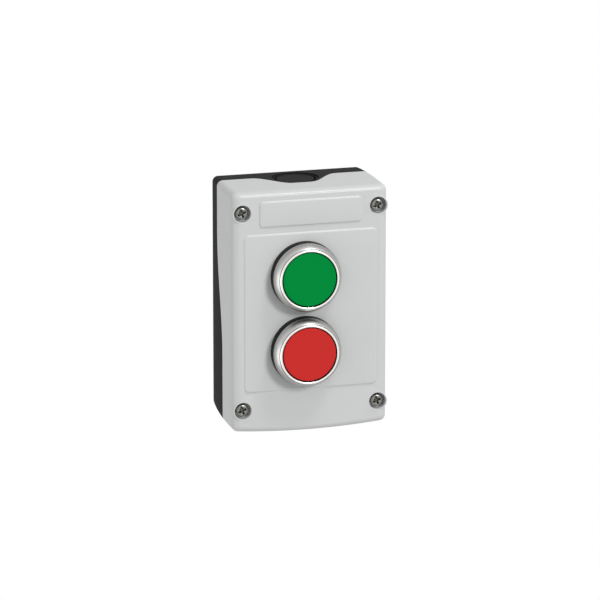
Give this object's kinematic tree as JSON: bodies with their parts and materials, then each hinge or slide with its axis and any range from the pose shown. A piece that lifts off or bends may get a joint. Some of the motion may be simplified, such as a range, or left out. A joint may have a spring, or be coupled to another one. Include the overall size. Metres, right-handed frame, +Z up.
{
  "type": "pushbutton control station",
  "caption": "Wall-mounted pushbutton control station: black base, light-grey cover, green start and red stop flush buttons with metal bezels.",
  "frame": {"origin": "on the wall face of the base, level with the centre of the four cover screws", "axes": "+Z up, front towards -Y, wall face in the plane Y = 0 with its outward normal +Y"},
  "size_m": [0.0624, 0.0434, 0.0972],
  "materials": {
    "base_plastic": "fine matt texture",
    "cover_plastic": "satin moulded",
    "black_plastic": "satin moulded",
    "black_rubber": "matt",
    "bezel_metal": "satin shoulder with a polished rim",
    "screw_steel": "zinc plated",
    "green_plastic": "glossy moulded",
    "red_plastic": "glossy moulded",
    "white_plastic": "moulded",
    "grey_plastic": "moulded",
    "contact_copper": "bright strip",
    "insert_brass": "knurled"
  },
  "bodies": {
    "enclosure": {"base_shell": "base_plastic", "cover_shell": "cover_plastic", "cover_gasket": "black_rubber", "cover_screws": "screw_steel", "threaded_inserts": "insert_brass", "screw_seals": "black_rubber", "mounting_rail": "screw_steel", "rail_screws": "screw_steel", "start_bezel": "bezel_metal", "start_head_body": "black_plastic", "start_panel_gasket": "black_rubber", "start_lock_nut": "grey_plastic", "start_return_spring": "screw_steel", "start_stem_seal": "black_rubber", "start_contact_housing": "grey_plastic", "start_contact_spring": "screw_steel", "start_fixed_contacts": "contact_copper", "start_terminal_screws": "screw_steel", "start_wire_clamps": "screw_steel", "stop_bezel": "bezel_metal", "stop_head_body": "black_plastic", "stop_panel_gasket": "black_rubber", "stop_lock_nut": "grey_plastic", "stop_return_spring": "screw_steel", "stop_stem_seal": "black_rubber", "stop_contact_housing": "grey_plastic", "stop_contact_spring": "screw_steel", "stop_fixed_contacts": "contact_copper", "stop_terminal_screws": "screw_steel", "stop_wire_clamps": "screw_steel"},
    "start_button": {"start_cap": "green_plastic", "start_plunger": "white_plastic", "start_contact_carrier": "white_plastic", "start_contact_bridge": "contact_copper"},
    "stop_button": {"stop_cap": "red_plastic", "stop_plunger": "white_plastic", "stop_contact_carrier": "white_plastic", "stop_contact_bridge": "contact_copper"}
  },
  "joints": [
    {"name": "start_press", "type": "slide", "parent": "enclosure", "child": "start_button", "axis": [0, 1, 0], "range_m": [0, 0.0035], "stiffness_N_per_m": 400, "springref_m": -0.004, "deforming": ["start_return_spring", "start_contact_spring"]},
    {"name": "stop_press", "type": "slide", "parent": "enclosure", "child": "stop_button", "axis": [0, 1, 0], "range_m": [0, 0.0035], "stiffness_N_per_m": 400, "springref_m": -0.004, "deforming": ["stop_return_spring", "stop_contact_spring"]}
  ]
}
